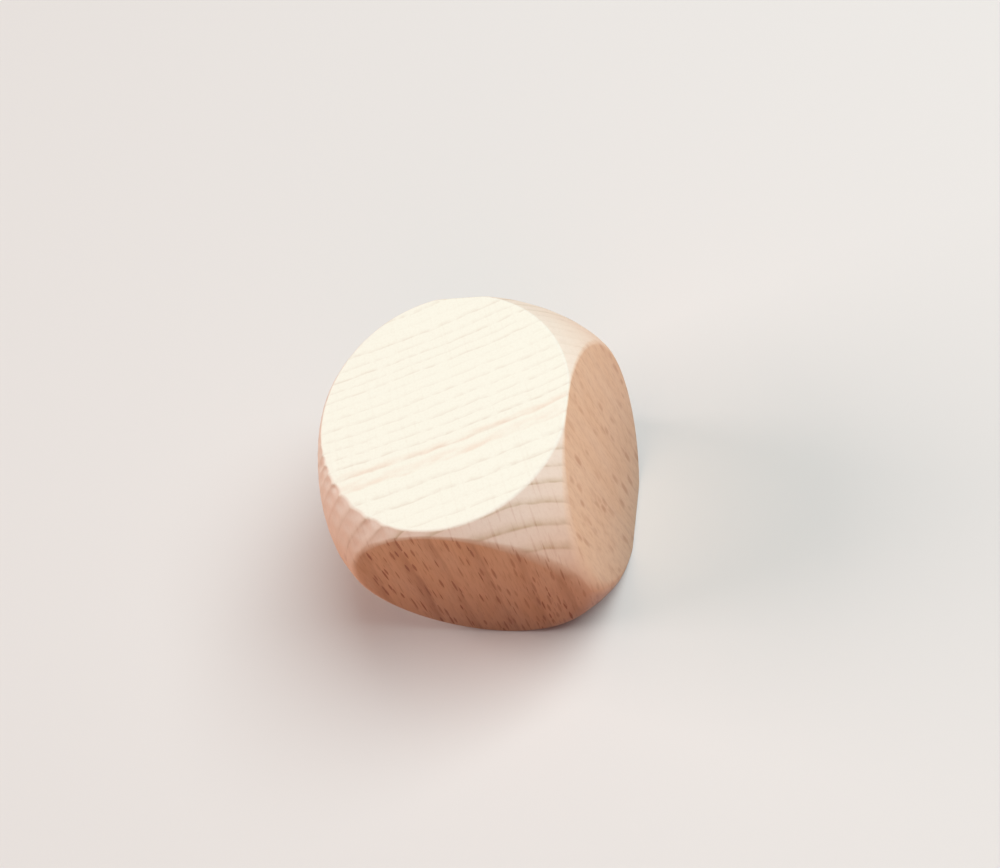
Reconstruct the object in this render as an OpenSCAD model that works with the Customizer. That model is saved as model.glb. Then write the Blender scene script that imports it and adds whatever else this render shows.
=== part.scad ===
// Wooden cube: a plain blank of beech whose eight corners were turned away on a lathe.
//
// The turning axis is the grain direction, +Z. The turned surface is a barrel that bulges
// just less far than the upright edges of the blank, so it takes the corners off whole,
// skims the upright edges, and leaves one round flat land on each of the six faces.
// All sizes are in millimetres. The origin is the centre of the blank's lower end face.

/* [Blank] */
// Side of the cube, between each pair of opposite flat faces
side = 30; // [20:0.5:60]

/* [Turned corners] */
// How far a corner of the upper end face is turned back, along that face's diagonal
corner_cut = 6.4; // [4:0.1:7.5]
// How far an upright edge is turned back at the barrel's widest girth
edge_cut = 0.85; // [0.3:0.05:3]

/* [Setting in the lathe] */
// How far the turning axis lies off the blank's centre towards +X
axis_off_x = 0.35; // [-1:0.05:1]
// How far the turning axis lies off the blank's centre towards +Y
axis_off_y = 0.35; // [-1:0.05:1]
// How far the barrel's widest girth lies below the middle of the blank
belly_drop = 0.25; // [-1:0.05:1]

/* [Hidden] */

BEECH = "#E2BF9C";
// Segments to a full turn, for the preview only
$fn = 144;

// From the centre of the blank to one of its upright edges
edge_reach = side / sqrt(2);
// Radius of the round land on the upper end face
end_land_r = edge_reach - corner_cut;
// Radius of the barrel at its widest
belly_r = edge_reach - edge_cut;
// Height of the widest girth above the lower end face
belly_z = side / 2 - belly_drop;
// The barrel's outline is one arc through the rim of the upper land and the widest girth:
// its rise, its swell, and the radius that they give
arc_rise = side - belly_z;
arc_swell = belly_r - end_land_r;
arc_r = (arc_rise * arc_rise + arc_swell * arc_swell) / (2 * arc_swell);
// Distance of the arc's centre from the turning axis
arc_centre = belly_r - arc_r;

// The square blank, standing on its end grain
module blank() {
    translate([-side / 2, -side / 2, 0])
        cube(side);
}

// The outline of the barrel, to the right of the turning axis
module barrel_outline() {
    intersection() {
        translate([arc_centre, belly_z])
            circle(r = arc_r);
        translate([0, belly_z - arc_r])
            square([belly_r, 2 * arc_r]);
    }
}

// The surface that the tool sweeps, about the turning axis
module turned_barrel() {
    translate([axis_off_x, axis_off_y, 0])
        rotate_extrude()
            barrel_outline();
}

// What is left of the blank inside the barrel
module wooden_cube() {
    color(BEECH)
        intersection() {
            blank();
            turned_barrel();
        }
}

wooden_cube();
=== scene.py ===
import math

import bpy
import numpy as np
from mathutils import Matrix, Vector


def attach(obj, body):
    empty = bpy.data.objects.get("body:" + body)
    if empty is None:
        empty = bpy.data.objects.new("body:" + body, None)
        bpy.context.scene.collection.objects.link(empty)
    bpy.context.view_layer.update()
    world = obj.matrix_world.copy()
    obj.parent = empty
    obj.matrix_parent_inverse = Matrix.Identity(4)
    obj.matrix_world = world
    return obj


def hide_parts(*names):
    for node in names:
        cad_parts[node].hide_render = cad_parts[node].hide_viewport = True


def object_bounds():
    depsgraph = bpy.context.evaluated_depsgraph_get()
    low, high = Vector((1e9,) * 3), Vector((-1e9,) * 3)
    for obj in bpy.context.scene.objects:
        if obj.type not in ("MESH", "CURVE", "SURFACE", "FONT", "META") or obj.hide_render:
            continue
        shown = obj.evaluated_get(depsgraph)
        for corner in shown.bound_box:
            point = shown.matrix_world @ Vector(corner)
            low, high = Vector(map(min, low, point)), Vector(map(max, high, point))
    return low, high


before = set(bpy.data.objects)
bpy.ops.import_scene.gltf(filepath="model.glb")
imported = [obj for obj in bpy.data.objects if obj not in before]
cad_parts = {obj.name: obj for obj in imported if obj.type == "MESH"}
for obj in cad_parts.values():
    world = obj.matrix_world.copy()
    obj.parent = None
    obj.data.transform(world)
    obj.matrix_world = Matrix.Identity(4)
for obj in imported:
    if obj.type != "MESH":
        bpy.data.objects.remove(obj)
cad_low, cad_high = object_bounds()

# A wooden cube: a blank of beech turned between centres, so that its corners are gone and a
# round flat land is left on each face. Lengths are in millimetres, and x, y and z are
# measured from the middle of the blank, until a mesh or a lamp is placed in metres.
MM = 0.001

# --- The blank and its turning, as in the part's source -----------------------------------
SIDE = (cad_high.z - cad_low.z) / MM
HALF = SIDE / 2
# How far a corner of the upper end face is turned back along that face's diagonal, and an
# upright edge at the barrel's widest girth
CORNER_CUT = 6.4
EDGE_CUT = 0.85
# How far the turning axis lies off the blank's centre, and how far the widest girth lies
# below its middle
AXIS_OFF_X = 0.35
AXIS_OFF_Y = 0.35
BELLY_DROP = 0.25

# The barrel's outline is one arc through the rim of the upper land and the widest girth
EDGE_REACH = SIDE / math.sqrt(2)
END_LAND_R = EDGE_REACH - CORNER_CUT
BELLY_R = EDGE_REACH - EDGE_CUT
ARC_RISE = HALF + BELLY_DROP
ARC_SWELL = BELLY_R - END_LAND_R
ARC_R = (ARC_RISE**2 + ARC_SWELL**2) / (2 * ARC_SWELL)
ARC_CENTRE = BELLY_R - ARC_R

# --- What sanding left of the sharp edges -------------------------------------------------
# Radius to which the edges of the blank are eased
EDGE_EASING = 0.28
# Radius to which the rims of the lands are eased at the end faces, and what is added to it
# at the blank's waist, on the worn corner towards +X and -Y, and in torn grain
RIM_EASING = 0.08
WAIST_EASING = 0.14
WORN_EASING = 0.55
TORN_EASING = 0.16
# How closely the wear keeps to its corner, the share of it that the end faces lose, and how
# close to them that share goes
WORN_POWER = 3
WORN_LOSS = 0.75
WORN_LOSS_POWER = 6

# --- How the tool cut the rings -----------------------------------------------------------
# How late in a ring the cut drops to the hard late wood
DROP_POWER = 5
# A ripple along the rings, and where it starts and is full, on the way from the waist to an
# end face
RIPPLE_DEPTH = 0.035
RIPPLE_FROM = 0.25
RIPPLE_FULL = 0.5
# The torn corner is the one towards -X and -Y. Where it starts and is full, as the sum of a
# point's ways towards -X and -Y, in half sides
TORN_FROM = 1.13
TORN_FULL = 1.35
# Torn grain at the upper rim of that corner, and lumps below it: depth, how closely they
# keep to the rim, length of their waves along a ring, and the share of their depth that the
# waves take away on average
TEAR_DEPTH = 0.66
TEAR_POWER = 11
TEAR_WAVE = 2.3
TEAR_SWING = 0.25
LUMP_DEPTH = 0.09
LUMP_POWER = 1
LUMP_WAVE = 3.1
LUMP_SWING = 0.5
# The waves lie askew, WAVE_SLANT along a ring for each millimetre up, and shift YEAR_SHIFT
# radians from ring to ring. A slower wave, of YEAR_TURN radians a ring, takes the share
# YEAR_SWING from the tear's depth on average.
WAVE_SLANT = 0.7
YEAR_SHIFT = 4.0
YEAR_TURN = 2.1
YEAR_SWING = 0.3

# --- The tree that the blank was cut from -------------------------------------------------
# On the upper end face the rings run at RING_TURN to the x axis, and the pith lies
# PITH_DISTANCE away. The grain leans off the blank's upright edges.
RING_TURN = math.radians(21.3)
PITH_DISTANCE = 230.0
GRAIN_LEAN = (0.14, 0.0, 1.0)
# Mean width of a ring, and the ring in which the middle of the upper end face lies
RING_WIDTH = 1.44
RING_START = 8.71
# Good and bad years: share of a ring, wave length, and where the wave starts
YEAR_SWINGS = ((0.56, 29.7, 5.19), (0.14, 9.69, 1.62))

# --- The mesh -----------------------------------------------------------------------------
# Loops of faces from the middle of a land to its rim, over the rim, and on to the edge of
# the blank
LAND_LOOPS = 34
RIM_LOOPS = 10
TURNED_LOOPS = 19
LOOPS = LAND_LOOPS + RIM_LOOPS + TURNED_LOOPS
# How far the rim's loops reach to each side of a sharp rim, and more for each unit of easing
CLOSE_RIM = 0.12
CLOSE_PER_EASING = 1.3
# How far the rim's loops stay inside the blank's edge at the least, and how much wider the
# last loops grow towards that edge
LEAST_GAP = 0.25
SPREAD = 1.25
# Steps of halving, and the distances from the middle of the blank, in half sides, between
# which its surface is sought
HALVINGS = 34
NEAREST, FURTHEST = 0.7, 1.8
# How far the turned look reaches to each side of a sharp rim before it is gone or full, and
# more for each unit of easing
RIM_BLUR = 0.05
BLUR_PER_EASING = 1.5
# How closely the torn look keeps to the upper rim
TORN_LOOK_POWER = 0.5
# Attributes of the cube's points: how far each is turned, and how far it is torn
TURNED = "turned"
TORN = "torn"


# ===========================================================================================
# The wood: where a point lies in the tree
# ===========================================================================================
def grain_axes():
    """Unit vectors along a ring, towards the pith and along the grain, at right angles."""
    grain = np.array(GRAIN_LEAN) / np.linalg.norm(GRAIN_LEAN)
    level = np.array((-math.sin(RING_TURN), math.cos(RING_TURN), 0.0))
    inward = level - grain * (level @ grain)
    inward = inward / np.linalg.norm(inward)
    return np.array((np.cross(inward, grain), inward, grain))


GRAIN_AXES = grain_axes()


def depth_in_tree(points):
    """How far each point lies inside the ring that crosses the middle of the upper end face:
    the pith's distance from there, less the point's own distance from the pith."""
    around, inward, _ = GRAIN_AXES @ (points - (0, 0, HALF)).T
    return PITH_DISTANCE - np.hypot(around, PITH_DISTANCE - inward)


def ring_count(depth):
    """Rings counted towards the pith, as a number whose whole part is the ring: depth over
    the mean ring width, plus a slow and a quick sine wave for good and bad years."""
    count = RING_START + depth / RING_WIDTH
    for share, length, start in YEAR_SWINGS:
        count = count + share * np.sin(2 * np.pi * depth / length + start)
    return count


# ===========================================================================================
# The shape
# ===========================================================================================
def soften(a, b, easing):
    """The greater of two signed distances, with the corner between them rounded: inside the
    easing it is the distance from the point where both are one easing deep."""
    eased = np.hypot(np.maximum(a + easing, 0), np.maximum(b + easing, 0))
    return np.minimum(np.maximum(a, b), -easing) + eased


def barrel_distance(points):
    """Signed distance from the turned surface: the distance from the arc's centre, in the
    half plane through the turning axis, less the arc's radius."""
    reach = np.hypot(points[:, 0] - AXIS_OFF_X, points[:, 1] - AXIS_OFF_Y)
    return np.hypot(reach - ARC_CENTRE, points[:, 2] + BELLY_DROP) - ARC_R


def torn_share(points, power):
    """How far each point lies in the torn grain, from 0 to 1: on the corner towards -X and
    -Y, times a power of the height above the blank's middle. A power of nought gives the
    corner at all heights."""
    corner = (-(points[:, 0] + points[:, 1]) / HALF - TORN_FROM) / (TORN_FULL - TORN_FROM)
    return np.clip(corner, 0, 1) * np.clip(points[:, 2] / HALF, 0, 1) ** power


def rim_easing(points):
    """Radius to which the rim of a land was eased. With h for the height from the middle of
    the blank, in half sides, it grows towards the waist by 1 - h^2. On the worn corner it
    grows by the cube of the way there from the opposite corner, times 1 - 0.75 h^6. Torn
    grain adds to it."""
    height = np.clip(points[:, 2] / HALF, -1, 1)
    diagonal = (points[:, 0] - points[:, 1]) / math.sqrt(2)
    near = np.clip((1 + diagonal / EDGE_REACH) / 2, 0, 1)
    worn = WORN_EASING * near**WORN_POWER * (1 - WORN_LOSS * height**WORN_LOSS_POWER)
    torn = TORN_EASING * torn_share(points, TEAR_POWER)
    return RIM_EASING + WAIST_EASING * (1 - height**2) + worn + torn


def waves(swing, angle):
    """A sine wave whose crests are at 1, and whose mean is 1 less the swing."""
    return 1 - swing + swing * np.sin(angle)


def turning_relief(points):
    """Depth that the tool took out of the soft part of each ring. Across a ring, with f from
    0 to 1, the cut follows f (1 - f^5), so it drops at the hard late wood. It is a ripple
    that fades towards the waist, and on the torn corner it is torn grain instead, deepest at
    the upper rim. Below that rim lie lumps, which follow sin^2 (pi f). Tear and lumps wave
    along each ring and differ from ring to ring."""
    count = ring_count(depth_in_tree(points))
    year = np.floor(count)
    part = count - year
    along = 2 * np.pi * (points @ GRAIN_AXES[0] + WAVE_SLANT * points[:, 2])
    shift = YEAR_SHIFT * year
    fade = (np.abs(points[:, 2]) / HALF - RIPPLE_FROM) / (RIPPLE_FULL - RIPPLE_FROM)
    ripple = RIPPLE_DEPTH * np.clip(fade, 0, 1) * (1 - torn_share(points, 0))
    tear = TEAR_DEPTH * torn_share(points, TEAR_POWER) * waves(YEAR_SWING, YEAR_TURN * year)
    tear = tear * waves(TEAR_SWING, along / TEAR_WAVE + shift)
    lumps = LUMP_DEPTH * torn_share(points, LUMP_POWER) * np.sin(np.pi * part) ** 2
    lumps = lumps * waves(LUMP_SWING, along / LUMP_WAVE + shift)
    return part * (1 - part**DROP_POWER) * (ripple + tear) + lumps


def cube_distance(points):
    """Signed distance from the finished surface: the six faces of the blank, rounded into
    each other, and then rounded into the turned surface with its relief."""
    off = np.abs(points) - HALF
    blank = soften(soften(off[:, 0], off[:, 1], EDGE_EASING), off[:, 2], EDGE_EASING)
    turned = barrel_distance(points) + turning_relief(points)
    return soften(blank, turned, rim_easing(points))


def reach_along(starts, ways, distance, near, far):
    """How far along its way each start comes to where a signed distance is nought, between
    two bounds, by halving."""
    low = np.full(len(ways), near)
    high = np.full(len(ways), far)
    for _ in range(HALVINGS):
        middle = (low + high) / 2
        inside = distance(starts + ways * middle[:, None]) < 0
        low = np.where(inside, middle, low)
        high = np.where(inside, high, middle)
    return (low + high) / 2


def face_lattice(axis, sign):
    """One face of a lattice of whole numbers on a cube's skin, and for each point the way
    from the middle of that face. Square loops become round ones: a point that is a share s
    along a side, from its middle, lies s of 45 degrees round from there."""
    steps = np.arange(-LOOPS, LOOPS + 1)
    across, up = (grid.ravel() for grid in np.meshgrid(steps, steps, indexing="ij"))
    loop = np.maximum(abs(across), abs(up))
    wide = abs(across) >= abs(up)
    turn = across * up / np.maximum(loop, 1) ** 2 * np.pi / 4
    along = np.cos(turn)
    aside = np.sin(abs(turn))
    way = np.zeros((len(across), 3))
    way[:, (axis + 1) % 3] = np.sign(across) * np.where(wide, along, aside)
    way[:, (axis + 2) % 3] = np.sign(up) * np.where(wide, aside, along)
    middle = np.zeros((len(across), 3))
    middle[:, axis] = sign * HALF
    keys = np.zeros((len(across), 3), int)
    keys[:, axis] = sign * LOOPS
    keys[:, (axis + 1) % 3] = across
    keys[:, (axis + 2) % 3] = up
    return keys, way, middle, loop


def loop_places(way, middle, loop):
    """Where each lattice point lies in the plane of its face. Loops are even from the middle
    of the land to its rim, closest over the rim, and then spread out to the blank's edge.
    Where the land runs out to that edge, the rim's loops stay LEAST_GAP inside it, and they
    take less width past the rim as that gap closes. The middle point has no way to go."""
    longest = abs(way).max(axis=1)
    border = HALF / np.where(longest > 0, longest, 1)
    rim = reach_along(middle, way, barrel_distance, 0.0, SIDE)
    gap = np.hypot(np.maximum(border - rim, 0), LEAST_GAP)
    rim = border - gap
    width = CLOSE_RIM + CLOSE_PER_EASING * rim_easing(middle + way * rim[:, None])
    inner = rim - width
    outer = rim + width * gap / (gap + width * (1 + 2 * TURNED_LOOPS / RIM_LOOPS))
    land = np.clip(loop / LAND_LOOPS, 0, 1)
    over = np.clip((loop - LAND_LOOPS) / RIM_LOOPS, 0, 1)
    turned = np.clip((loop - LAND_LOOPS - RIM_LOOPS) / TURNED_LOOPS, 0, 1)
    reach = inner * land + (outer - inner) * over + (border - outer) * turned**SPREAD
    return middle + way * reach[:, None]


def face_quads(sign):
    """Corners of the lattice squares of one face, counted so that they face outwards."""
    side = 2 * LOOPS + 1
    number = np.arange(side * side).reshape(side, side)
    corners = (number[:-1, :-1], number[1:, :-1], number[1:, 1:], number[:-1, 1:])
    quads = np.stack([corner.ravel() for corner in corners], axis=1)
    return quads if sign > 0 else quads[:, ::-1]


def turned_share(points):
    """How far each point belongs to the turned surface, from 0 on a land to 1, by which of
    the two signed distances is the greater: 3 s^2 - 2 s^3 of their difference."""
    blank = np.abs(points).max(axis=1) - HALF
    turned = barrel_distance(points) + turning_relief(points)
    blur = RIM_BLUR + BLUR_PER_EASING * rim_easing(points)
    share = np.clip((turned - blank) / (2 * blur) + 0.5, 0, 1)
    return share * share * (3 - 2 * share)


def turned_cube():
    """The cube's points and faces, and how far each point is turned and torn. Each lattice
    point's ray from the middle of the blank is followed to the finished surface, and points
    that two faces share are welded by their lattice keys."""
    keys, rays, quads = [], [], []
    for axis in range(3):
        for sign in (-1, 1):
            face_keys, way, middle, loop = face_lattice(axis, sign)
            quads.append(face_quads(sign) + sum(len(k) for k in keys))
            keys.append(face_keys)
            rays.append(loop_places(way, middle, loop))
    keys = np.concatenate(keys)
    rays = np.concatenate(rays)
    _, first, welded = np.unique(keys, axis=0, return_index=True, return_inverse=True)
    rays = rays[first] / np.linalg.norm(rays[first], axis=1, keepdims=True)
    reach = reach_along(0.0, rays, cube_distance, NEAREST * HALF, FURTHEST * HALF)
    points = rays * reach[:, None]
    faces = welded.ravel()[np.concatenate(quads)]
    shares = {TURNED: turned_share(points), TORN: torn_share(points, TORN_LOOK_POWER)}
    return (points + (0, 0, HALF)) * MM, faces, shares


def add_mesh(name, points, faces, material, shares=None):
    """Adds a mesh object at the origin, with its place in its points. A piece with shares,
    which become attributes of its points, is smooth, and one without is flat."""
    mesh = bpy.data.meshes.new(name)
    mesh.from_pydata(points, [], faces.tolist(), shade_flat=shares is None)
    for label, values in (shares or {}).items():
        mesh.attributes.new(label, "FLOAT", "POINT").data.foreach_set("value", values)
    mesh.materials.append(material)
    piece = bpy.data.objects.new(name, mesh)
    bpy.context.scene.collection.objects.link(piece)
    return piece


# ===========================================================================================
# Materials
# ===========================================================================================
MATH = "ShaderNodeMath"
VECTOR = "ShaderNodeVectorMath"
NOISE = "ShaderNodeTexNoise"
VORONOI = "ShaderNodeTexVoronoi"
RANGE = "ShaderNodeMapRange"
MIX = "ShaderNodeMix"
# Inputs by their number: a mix's factor, its two numbers and its two colours, and the two
# ends of a range with what they become
FACTOR, NUMBER_A, NUMBER_B, COLOUR_A, COLOUR_B = 0, 2, 3, 6, 7
FROM_LOW, FROM_HIGH, TO_LOW, TO_HIGH = 1, 2, 3, 4

# Bare beech: its end grain, its side grain, and a warmer tone that drifts through the side
END_GRAIN = "#E9E7D8"
SIDE_GRAIN = "#E5B78F"
SIDE_GRAIN_WARM = "#E2AE80"
# What each of these leaves of the colour under it: turning, which burnishes the wood a
# little pink, late wood, where sanded and where turned, the broad late wood of two pink
# years, open pores, and rays
BURNISHED = "#FFFAFE"
LATE_WOOD_SANDED = "#CEB0A0"
LATE_WOOD_TURNED = "#D0C4A6"
PINK_YEARS = "#F6DFD6"
PORES = "#D8C2B0"
RAYS = "#C49070"
# The look of end grain goes by the cosine between a surface and the grain, and that of a
# face along the rings by its cosine to the pith: the power of each
END_POWER = 0.8
RING_FACE_POWER = 3.0

# How much of its tint late wood takes: on end grain, on a sanded face that lies along the
# rays, on one that lies along the rings, and in torn grain
LATE_ON_END = 0.26
LATE_ON_RAY_FACE = 0.12
LATE_ON_RING_FACE = 1.05
LATE_ON_TORN = 0.15
# On the turned surface it grows from the first to the second of LATE_ON_TURNED as the
# cosine to the pith grows between those of FACING_PITH. Towards the waist it fades out, as
# the look of end grain falls between the shares of FACING_END.
LATE_ON_TURNED = (0.12, 1.15)
FACING_PITH = (0.4, 0.78)
FACING_END = (0.33, 0.43)

# Where in a ring the late wood sets in sharply, the power by which it then fades, and how
# far into the next ring it does so, in general and on the sanded end
LATE_WOOD_FROM = 0.9
LATE_WOOD_POWER = 1.5
LATE_WOOD_FADE = (0.42, 0.34)
# How much sooner than its end a ring takes on the next one's strength, which is chance: the
# weakest ring, in general and on the sanded end, and the strongest
NEXT_RING = 0.08
WEAKEST_RING = (0.5, 0.15)
STRONGEST_RING = 1.05
# The same for the two years of broad pink late wood. They lie about PINK_YEAR in the ring
# count, full within the first of PINK_REACH from it and gone by the second.
PINK_FROM = 0.8
PINK_POWER = 1.0
PINK_FADE = 0.75
PINK_YEAR = 4.6
PINK_REACH = (0.7, 1.1)

# Scattered patterns: size along the ring, towards the pith and along the grain, detail, and
# the two noise levels that become the least and the most, which follow. They sway the ring
# lines, drift the side grain's tone, patch the pink years and break late wood into stretches.
SWAYS = (
    ((8.0, 8.0, 28.0), 1.0, 0.0, 1.0, -0.35, 0.35),
    ((2.0, 2.0, 9.0), 1.0, 0.0, 1.0, -0.16, 0.16),
)
DRIFT = ((4.0, 2.5, 12.0), 2.0, 0.3, 0.7, 0.0, 1.0)
PINK_PATCHES = ((3.0, 0.8, 12.0), 1.0, 0.35, 0.65, 0.1, 0.6)
STRETCHES = ((1.3, 0.8, 7.0), 1.0, 0.35, 0.62)
# The least that a stretch keeps, in general and on the sanded end, and the most
WEAKEST_STRETCH = (0.65, 0.1)
STRONGEST_STRETCH = 1.1
# Fibres and pores. Real pores are under 0.1 mm wide, too fine to show, so they are drawn
# about three times as wide. Noise levels at which pores start and are full, and how much of
# their tint they take on the side grain, on the end grain and where turned
FIBRE = ((0.26, 0.26, 3.2), 2.0, 0.0, 1.0, 0.0, 1.0)
PORE_LEVELS = (0.45, 0.75)
PORES_ON_SIDE = 0.38
PORES_ON_END = 0.08
PORES_ON_TURNED = 0.1

# Rays: spacing and half sizes along the ring, towards the pith and along the grain, how
# gently they fade out, and how much of their tint they take. Real broad rays are about
# 0.2 mm thick and fine ones 0.05 mm, so both are drawn thicker than they are, to show.
BROAD_RAYS = ((0.85, 10.0, 3.5), (0.19, 4.6, 1.75), 0.5)
BROAD_RAY_TINT = 1.3
FINE_RAYS = ((0.6, 6.0, 2.2), (0.09, 2.5, 0.95), 0.45)
FINE_RAY_TINT = 0.45
# Streaks of open pores on the faces along the rays, as for the rays
STREAKS = ((1.9, 1.8, 4.2), (0.95, 0.42, 1.75), 0.85)
STREAK_TINT = 0.7
# How far outside its lens a ray starts to show, as a share of its half thickness. The least
# height of a ray in half sizes and its least darkness, and what chance adds to each
RAY_HALO = 0.1
RAY_HEIGHT = (0.6, 0.8)
RAY_DARKNESS = (0.35, 0.65)
# How much of their tint rays take away from faces along the rings, and on them. Where turned
# they keep the first of RAYS_ON_TURNED, and late wood adds the second.
RAYS_SEEN = (0.02, 1.0)
RAYS_ON_TURNED = (0.3, 0.6)

# How deep pores lie on the side grain and on the end grain, how deep broad rays lie, and how
# far late wood stands proud
PORE_DEPTHS = (0.012, 0.003)
RAY_DEPTH = 0.012
LATE_WOOD_RISE = 0.008
# A dry surface, rough from sanding, with the faint sheen of cut fibres
SANDED_SURFACE = {
    "Roughness": 0.62,
    "IOR": 1.5,
    "Specular IOR Level": 0.3,
    "Sheen Weight": 0.12,
    "Sheen Roughness": 0.5,
}


def linear(hex_colour):
    """An sRGB hex colour as linear red, green, blue and alpha."""
    levels = [int(hex_colour[i:i + 2], 16) / 255 for i in (1, 3, 5)]
    return (*[v / 12.92 if v <= 0.04045 else ((v + 0.055) / 1.055) ** 2.4 for v in levels], 1.0)


def feed(tree, socket, value):
    """Gives an input a value, or links it to a socket or to a node's first output in use."""
    if isinstance(value, bpy.types.Node):
        value = next(output for output in value.outputs if output.enabled)
    if isinstance(value, bpy.types.NodeSocket):
        tree.links.new(value, socket)
    else:
        socket.default_value = value


def add(tree, kind, links, **settings):
    """Adds a node. Settings are its properties, and links feed its inputs, each given by its
    name or its number."""
    made = tree.nodes.new(kind)
    for name, value in settings.items():
        setattr(made, name, value)
    for name, value in links.items():
        feed(tree, made.inputs[name], value)
    return made


def tree_place(tree):
    """Object coordinates as millimetres along the ring, towards the pith and along the
    grain, from the middle of the upper end face. The first is the angle about the pith
    times its distance, and the second is that distance less the point's own."""
    turn = Matrix(GRAIN_AXES.tolist())
    coords = add(tree, "ShaderNodeTexCoord", {})
    straight = add(tree, "ShaderNodeMapping", {
        "Vector": coords.outputs["Object"],
        "Location": turn @ Vector((0, 0, -SIDE)),
        "Rotation": turn.to_euler("XYZ"),
        "Scale": (1 / MM, 1 / MM, 1 / MM),
    }, vector_type="POINT")
    parts = add(tree, "ShaderNodeSeparateXYZ", {0: straight})
    to_pith = add(tree, MATH, {0: PITH_DISTANCE, 1: parts.outputs["Y"]}, operation="SUBTRACT")
    flat = add(tree, "ShaderNodeCombineXYZ", {"X": parts.outputs["X"], "Y": to_pith})
    reach = add(tree, VECTOR, {0: flat}, operation="LENGTH")
    depth = add(tree, MATH, {0: PITH_DISTANCE, 1: reach}, operation="SUBTRACT")
    angle = add(tree, MATH, {0: parts.outputs["X"], 1: to_pith}, operation="ARCTAN2")
    around = add(tree, MATH, {0: angle, 1: PITH_DISTANCE}, operation="MULTIPLY")
    return add(tree, "ShaderNodeCombineXYZ", {
        "X": around, "Y": depth, "Z": parts.outputs["Z"],
    })


def scattered(tree, place, size, detail, low, high, least, most):
    """Smooth noise of a given size each way, stretched from low..high to least..most."""
    way = add(tree, VECTOR, {0: place, 1: size}, operation="DIVIDE")
    noise = add(tree, NOISE, {"Vector": way, "Scale": 1.0, "Detail": detail, "Roughness": 0.5})
    return add(tree, RANGE, {
        "Value": noise, FROM_LOW: low, FROM_HIGH: high, TO_LOW: least, TO_HIGH: most,
    })


def late_band(tree, part, start, fade_end, power):
    """A band of late wood from 0 to 1, by the part of a ring: it sets in with a smooth step
    from its start to the ring's end, and fades in the next ring by a power."""
    edge = add(tree, RANGE, {
        "Value": part, FROM_LOW: start, FROM_HIGH: 1.0, TO_LOW: 0.0, TO_HIGH: 1.0,
    }, interpolation_type="SMOOTHSTEP")
    fade = add(tree, RANGE, {
        "Value": part, FROM_LOW: 0.0, FROM_HIGH: fade_end, TO_LOW: 1.0, TO_HIGH: 0.0,
    })
    fade = add(tree, MATH, {0: fade, 1: power}, operation="POWER")
    return add(tree, MATH, {0: fade, 1: edge}, operation="MAXIMUM")


def ring_nodes(tree, place, sanded_end):
    """Late wood, from 0 to 1, and the late wood of the pink years, from 0 to 1. The ring
    count is the same sum as in ring_count, on a depth that sways a little. Late wood ends
    sharply towards the bark and fades towards the pith. Each ring has a strength of its own,
    and is broken into stretches."""
    parts = add(tree, "ShaderNodeSeparateXYZ", {0: place})
    depth = parts.outputs["Y"]
    for pattern in SWAYS:
        sway = scattered(tree, place, *pattern)
        depth = add(tree, MATH, {0: sway, 1: depth}, operation="ADD")
    count = add(tree, MATH, {0: depth, 1: 1 / RING_WIDTH, 2: RING_START}, operation="MULTIPLY_ADD")
    for share, length, start in YEAR_SWINGS:
        angle = add(tree, MATH, {
            0: depth, 1: 2 * math.pi / length, 2: start,
        }, operation="MULTIPLY_ADD")
        swing = add(tree, MATH, {0: angle}, operation="SINE")
        count = add(tree, MATH, {0: swing, 1: share, 2: count}, operation="MULTIPLY_ADD")
    part = add(tree, MATH, {0: count}, operation="FRACT")

    limits = []
    for general, on_end in (LATE_WOOD_FADE, WEAKEST_RING, WEAKEST_STRETCH):
        limits.append(add(tree, MIX, {
            FACTOR: sanded_end, NUMBER_A: general, NUMBER_B: on_end,
        }))
    fade_end, weakest, least = limits
    ring = add(tree, MATH, {0: count, 1: NEXT_RING}, operation="ADD")
    ring = add(tree, MATH, {0: ring}, operation="FLOOR")
    chance = add(tree, "ShaderNodeTexWhiteNoise", {"W": ring}, noise_dimensions="1D")
    strength = add(tree, MIX, {FACTOR: chance, NUMBER_A: weakest, NUMBER_B: STRONGEST_RING})
    stretches = scattered(tree, place, *STRETCHES, least, STRONGEST_STRETCH)
    strength = add(tree, MATH, {0: strength, 1: stretches}, operation="MULTIPLY")
    late = late_band(tree, part, LATE_WOOD_FROM, fade_end, LATE_WOOD_POWER)
    late = add(tree, MATH, {0: late, 1: strength}, operation="MULTIPLY")

    off = add(tree, MATH, {0: count, 1: PINK_YEAR}, operation="SUBTRACT")
    off = add(tree, MATH, {0: off}, operation="ABSOLUTE")
    chosen = add(tree, RANGE, {
        "Value": off, FROM_LOW: PINK_REACH[0], FROM_HIGH: PINK_REACH[1], TO_LOW: 1.0, TO_HIGH: 0.0,
    }, interpolation_type="SMOOTHSTEP")
    pink = late_band(tree, part, PINK_FROM, PINK_FADE, PINK_POWER)
    for share in (chosen, scattered(tree, place, *PINK_PATCHES)):
        pink = add(tree, MATH, {0: pink, 1: share}, operation="MULTIPLY")
    return late, pink


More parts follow.
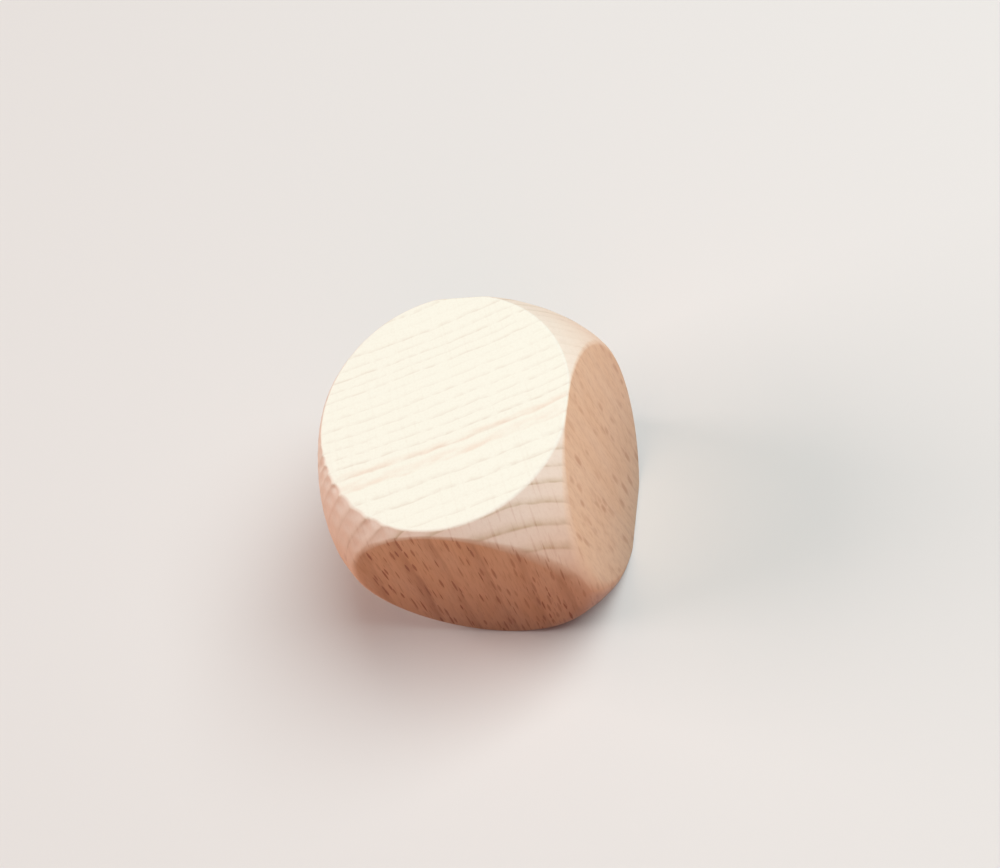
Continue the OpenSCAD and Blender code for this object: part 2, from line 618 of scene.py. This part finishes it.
def ray_nodes(tree, place, spacing, half, softness):
    """Lens-shaped rays, from 0 to 1. Each lies at its own point of a scattered lattice, and
    its half thickness is the greatest times one less the square of how far along the grain
    and towards the pith the point lies, as shares of its half sizes."""
    scaled = add(tree, VECTOR, {0: place, 1: spacing}, operation="DIVIDE")
    cells = add(tree, VORONOI, {"Vector": scaled, "Scale": 1.0, "Randomness": 1.0})
    off = add(tree, VECTOR, {0: scaled, 1: cells.outputs["Position"]}, operation="SUBTRACT")
    shares = [s / h for s, h in zip(spacing, half)]
    off = add(tree, VECTOR, {0: off, 1: shares}, operation="MULTIPLY")
    parts = add(tree, "ShaderNodeSeparateXYZ", {0: off})
    chances = add(tree, "ShaderNodeSeparateColor", {0: cells.outputs["Color"]})
    height, dark = (
        add(tree, MATH, {0: chance, 1: spread, 2: least}, operation="MULTIPLY_ADD")
        for chance, (least, spread) in zip(chances.outputs, (RAY_HEIGHT, RAY_DARKNESS))
    )
    tall = add(tree, MATH, {0: parts.outputs["Z"], 1: height}, operation="DIVIDE")
    thickness = 1.0
    for way in (tall, parts.outputs["Y"]):
        square = add(tree, MATH, {0: way, 1: way}, operation="MULTIPLY")
        left = add(tree, MATH, {0: 1.0, 1: square}, operation="SUBTRACT", use_clamp=True)
        thickness = add(tree, MATH, {0: left, 1: thickness}, operation="MULTIPLY")
    aside = add(tree, MATH, {0: parts.outputs["X"]}, operation="ABSOLUTE")
    inside = add(tree, MATH, {0: thickness, 1: aside}, operation="SUBTRACT")
    mask = add(tree, RANGE, {
        "Value": inside, FROM_LOW: -RAY_HALO, FROM_HIGH: softness, TO_LOW: 0.0, TO_HIGH: 1.0,
    }, interpolation_type="SMOOTHSTEP")
    return add(tree, MATH, {0: mask, 1: dark}, operation="MULTIPLY")


def facing(tree, axis):
    """How squarely the surface faces along an axis: the cosine, without its sign."""
    coords = add(tree, "ShaderNodeTexCoord", {})
    cosine = add(tree, VECTOR, {0: coords.outputs["Normal"], 1: axis}, operation="DOT_PRODUCT")
    return add(tree, MATH, {0: cosine}, operation="ABSOLUTE")


def late_wood_seen(tree, turned, torn, end, to_pith, ring_face):
    """How much of its tint late wood takes, by how the surface was made and lies."""
    sanded = add(tree, MIX, {
        FACTOR: ring_face, NUMBER_A: LATE_ON_RAY_FACE, NUMBER_B: LATE_ON_RING_FACE,
    })
    sanded = add(tree, MIX, {FACTOR: end, NUMBER_A: sanded, NUMBER_B: LATE_ON_END})
    cut = add(tree, RANGE, {
        "Value": to_pith, FROM_LOW: FACING_PITH[0], FROM_HIGH: FACING_PITH[1],
        TO_LOW: LATE_ON_TURNED[0], TO_HIGH: LATE_ON_TURNED[1],
    })
    off_waist = add(tree, RANGE, {
        "Value": end, FROM_LOW: FACING_END[0], FROM_HIGH: FACING_END[1],
    })
    cut = add(tree, MATH, {0: cut, 1: off_waist}, operation="MULTIPLY")
    cut = add(tree, MIX, {FACTOR: torn, NUMBER_A: cut, NUMBER_B: LATE_ON_TORN})
    return add(tree, MIX, {FACTOR: turned, NUMBER_A: sanded, NUMBER_B: cut})


def pores_seen(tree, turned, end, fibre):
    """How much of their tint pores take: where the fibre noise is high, most on side grain."""
    most = add(tree, MIX, {FACTOR: end, NUMBER_A: PORES_ON_SIDE, NUMBER_B: PORES_ON_END})
    most = add(tree, MIX, {FACTOR: turned, NUMBER_A: most, NUMBER_B: PORES_ON_TURNED})
    return add(tree, RANGE, {
        "Value": fibre, FROM_LOW: PORE_LEVELS[0], FROM_HIGH: PORE_LEVELS[1],
        TO_LOW: 0.0, TO_HIGH: most,
    })


def rays_seen(tree, turned, end, ring_face, late):
    """How much of their tint rays take, end on and lying in the surface. Where turned, late
    wood shows them best."""
    least, more = RAYS_ON_TURNED
    ticks = add(tree, MATH, {0: late, 1: more, 2: least}, operation="MULTIPLY_ADD")
    kept = add(tree, MIX, {FACTOR: turned, NUMBER_A: 1.0, NUMBER_B: ticks})
    end_on = add(tree, MIX, {
        FACTOR: ring_face, NUMBER_A: RAYS_SEEN[0], NUMBER_B: RAYS_SEEN[1],
    })
    end_on = add(tree, MATH, {0: end_on, 1: kept}, operation="MULTIPLY")
    lying = add(tree, MIX, {FACTOR: end, NUMBER_A: kept, NUMBER_B: 0.0})
    lying = add(tree, MIX, {FACTOR: ring_face, NUMBER_A: lying, NUMBER_B: 0.0})
    return end_on, lying


def bare_beech():
    """Bare beech, sawn, turned and sanded but not oiled. Its eye-catchers are brown rays,
    seen as short dashes on the faces that lie along the rings and as fine lines on the end
    grain, late wood as thin lines or broad bands, and a dry surface with no gloss."""
    material = bpy.data.materials.new("bare_sanded_beech")
    material.use_nodes = True
    tree = material.node_tree
    place = tree_place(tree)
    broad, fine, streaks = (ray_nodes(tree, place, *r) for r in (BROAD_RAYS, FINE_RAYS, STREAKS))
    fibre = scattered(tree, place, *FIBRE)
    turned, torn = (
        add(tree, "ShaderNodeAttribute", {}, attribute_name=name).outputs["Fac"]
        for name in (TURNED, TORN)
    )
    to_pith = facing(tree, GRAIN_AXES[1])
    ring_face = add(tree, MATH, {0: to_pith, 1: RING_FACE_POWER}, operation="POWER")
    end = add(tree, MATH, {0: facing(tree, GRAIN_AXES[2]), 1: END_POWER}, operation="POWER")
    sanded_end = add(tree, MIX, {FACTOR: turned, NUMBER_A: end, NUMBER_B: 0.0})
    late, pink = ring_nodes(tree, place, sanded_end)
    end_on, lying = rays_seen(tree, turned, end, ring_face, late)

    drift = scattered(tree, place, *DRIFT)
    side = add(tree, MIX, {
        FACTOR: drift, COLOUR_A: linear(SIDE_GRAIN), COLOUR_B: linear(SIDE_GRAIN_WARM),
    }, data_type="RGBA")
    colour = add(tree, MIX, {
        FACTOR: end, COLOUR_A: side, COLOUR_B: linear(END_GRAIN),
    }, data_type="RGBA")
    late_tint = add(tree, MIX, {
        FACTOR: turned, COLOUR_A: linear(LATE_WOOD_SANDED), COLOUR_B: linear(LATE_WOOD_TURNED),
    }, data_type="RGBA")
    # Each mark, how much of it is seen, and its tint
    tints = (
        (turned, 1.0, linear(BURNISHED)),
        (late, late_wood_seen(tree, turned, torn, end, to_pith, ring_face), late_tint),
        (pink, end, linear(PINK_YEARS)),
        (pores_seen(tree, turned, end, fibre), 1.0, linear(PORES)),
        (broad, add(tree, MATH, {0: end_on, 1: BROAD_RAY_TINT}, operation="MULTIPLY"), linear(RAYS)),
        (fine, add(tree, MATH, {0: end_on, 1: FINE_RAY_TINT}, operation="MULTIPLY"), linear(RAYS)),
        (streaks, add(tree, MATH, {0: lying, 1: STREAK_TINT}, operation="MULTIPLY"), linear(RAYS)),
    )
    for mark, seen, tint in tints:
        share = add(tree, MATH, {0: mark, 1: seen}, operation="MULTIPLY")
        colour = add(tree, MIX, {
            FACTOR: share, COLOUR_A: colour, COLOUR_B: tint,
        }, data_type="RGBA", blend_type="MULTIPLY")

    pore_depth = add(tree, MIX, {
        FACTOR: end, NUMBER_A: -PORE_DEPTHS[0], NUMBER_B: -PORE_DEPTHS[1],
    })
    height = add(tree, MATH, {0: fibre, 1: pore_depth}, operation="MULTIPLY")
    pits = add(tree, MATH, {0: broad, 1: end_on}, operation="MULTIPLY")
    for mark, rise in ((pits, -RAY_DEPTH), (late, LATE_WOOD_RISE)):
        height = add(tree, MATH, {0: mark, 1: rise, 2: height}, operation="MULTIPLY_ADD")
    bump = add(tree, "ShaderNodeBump", {"Strength": 1.0, "Distance": MM, "Height": height})

    shader = tree.nodes["Principled BSDF"]
    finish = {"Base Color": colour, "Normal": bump, **SANDED_SURFACE}
    for name, value in finish.items():
        feed(tree, shader.inputs[name], value)
    return material


# ===========================================================================================
# The stage. Its lengths are in metres, apart from the camera's place
# ===========================================================================================
# Side of the board, and its colour as it is seen
BOARD_SIDE = 1.0
BOARD_SEEN = "#DAD8D4"
# Colour of the light that the board throws up under the cube, and each colour that takes
# over from the one before, between two distances from the middle of the hollow
THROWN_UNDER = "#3C0E08"
THROWN_BEYOND = (("#9C4430", 0.026, 0.038), ("#F3E2D2", 0.05, 0.062))
HOLLOW = (-0.001, -0.001, 0.0)
# Strength of the sky as it lights the cube, and as it is seen
SKY = (0.05, 0.78)
# How far each lamp is from the cube's middle, and its side
LAMP_DISTANCE = 1.0
LAMP_SIZE = 0.7
# Way to each lamp from the cube, the level to which it lights white board, and its colour
LAMPS = {
    "main_lamp": ((0.5, 0.22, 0.84), 1.185, (0.89, 0.98, 1.0)),
    "side_lamp": ((-0.85, -0.05, 0.55), 0.65, (1.0, 0.8, 0.76)),
    "front_lamp": ((0.35, -0.7, 0.62), 0.135, (1.0, 0.32, 0.27)),
}
# Place of the camera in millimetres, how it is turned, its lens, and how near it sees
CAMERA_PLACE = (63.0, -71.5, 160.2)
CAMERA_AZIMUTH = math.radians(38.92)
CAMERA_ELEVATION = math.radians(55.96)
CAMERA_ROLL = math.radians(35.67)
LENS = 52.15
CLIP_START = 0.01


def seen_directly(tree):
    """1 for the eye's own rays and those that metal or glass turns, and 0 for all others."""
    path = add(tree, "ShaderNodeLightPath", {})
    direct = path.outputs["Is Camera Ray"]
    for way in ("Is Glossy Ray", "Is Transmission Ray"):
        direct = add(tree, MATH, {0: direct, 1: path.outputs[way]}, operation="MAXIMUM")
    return direct


def pale_board():
    """Pale matt board. Seen, it is nearly white. The light that it throws up on the wood is
    warm and weak under the cube and near it, as in the hollow of a hand, and paler beyond."""
    material = bpy.data.materials.new("pale_matt_board")
    material.use_nodes = True
    tree = material.node_tree
    tree.nodes.remove(tree.nodes["Principled BSDF"])
    coords = add(tree, "ShaderNodeTexCoord", {})
    away = add(tree, VECTOR, {0: coords.outputs["Object"], 1: HOLLOW}, operation="DISTANCE")
    throw = linear(THROWN_UNDER)
    for colour, near, far in THROWN_BEYOND:
        zone = add(tree, RANGE, {
            "Value": away, FROM_LOW: near, FROM_HIGH: far,
        }, interpolation_type="SMOOTHSTEP")
        throw = add(tree, MIX, {
            FACTOR: zone, COLOUR_A: throw, COLOUR_B: linear(colour),
        }, data_type="RGBA")
    seen = add(tree, "ShaderNodeBsdfDiffuse", {"Color": linear(BOARD_SEEN)})
    thrown = add(tree, "ShaderNodeBsdfDiffuse", {"Color": throw})
    board = add(tree, "ShaderNodeMixShader", {0: seen_directly(tree), 1: thrown, 2: seen})
    feed(tree, tree.nodes["Material Output"].inputs["Surface"], board)
    return material


def add_board():
    """A square of board under the cube, in the plane of its lower end face."""
    edge = BOARD_SIDE / 2
    points = np.array(((-edge, -edge, 0), (edge, -edge, 0), (edge, edge, 0), (-edge, edge, 0)))
    board = add_mesh("board", points, np.array(((0, 1, 2, 3),)), pale_board())


def add_lamps():
    """Square soft lamps that face the cube's middle. The power of each is such that white
    board square to it, where the cube is, is lit to the lamp's level."""
    for name, (way, level, colour) in LAMPS.items():
        lamp = bpy.data.lights.new(name, "AREA")
        lamp.color = colour
        lamp.size = LAMP_SIZE
        lamp.energy = level * math.pi**2 * LAMP_DISTANCE**2
        holder = bpy.data.objects.new(name, lamp)
        way = Vector(way).normalized()
        holder.location = Vector((0, 0, HALF * MM)) + way * LAMP_DISTANCE
        holder.rotation_euler = way.to_track_quat("Z", "Y").to_euler()
        bpy.context.scene.collection.objects.link(holder)


def add_sky():
    """Even white light from all sides, weak on the cube and pale behind it."""
    world = bpy.data.worlds.new("even_sky")
    world.use_nodes = True
    tree = world.node_tree
    background = tree.nodes["Background"]
    strength = add(tree, MIX, {
        FACTOR: seen_directly(tree), NUMBER_A: SKY[0], NUMBER_B: SKY[1],
    })
    feed(tree, background.inputs["Color"], (1, 1, 1, 1))
    feed(tree, background.inputs["Strength"], strength)
    bpy.context.scene.world = world


def add_camera():
    """The camera looks down on the cube from its near right corner, and is rolled."""
    back = Vector((
        math.sin(CAMERA_AZIMUTH) * math.cos(CAMERA_ELEVATION),
        -math.cos(CAMERA_AZIMUTH) * math.cos(CAMERA_ELEVATION),
        math.sin(CAMERA_ELEVATION),
    ))
    level = Vector((math.cos(CAMERA_AZIMUTH), math.sin(CAMERA_AZIMUTH), 0))
    upright = back.cross(level)
    right = level * math.cos(CAMERA_ROLL) - upright * math.sin(CAMERA_ROLL)
    up = level * math.sin(CAMERA_ROLL) + upright * math.cos(CAMERA_ROLL)
    turn = Matrix((right, up, back)).transposed().to_4x4()
    camera = bpy.data.objects.new("camera", bpy.data.cameras.new("camera"))
    camera.data.lens = LENS
    camera.data.clip_start = CLIP_START
    camera.matrix_world = Matrix.Translation(Vector(CAMERA_PLACE) * MM) @ turn
    bpy.context.scene.collection.objects.link(camera)
    bpy.context.scene.camera = camera


cube_points, cube_faces, cube_shares = turned_cube()
cube = add_mesh("turned_beech_cube", cube_points, cube_faces, bare_beech(), cube_shares)
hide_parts("wooden_cube")
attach(cube, "root")

add_board()
add_lamps()
add_sky()
add_camera()
bpy.context.scene.view_settings.view_transform = "Standard"
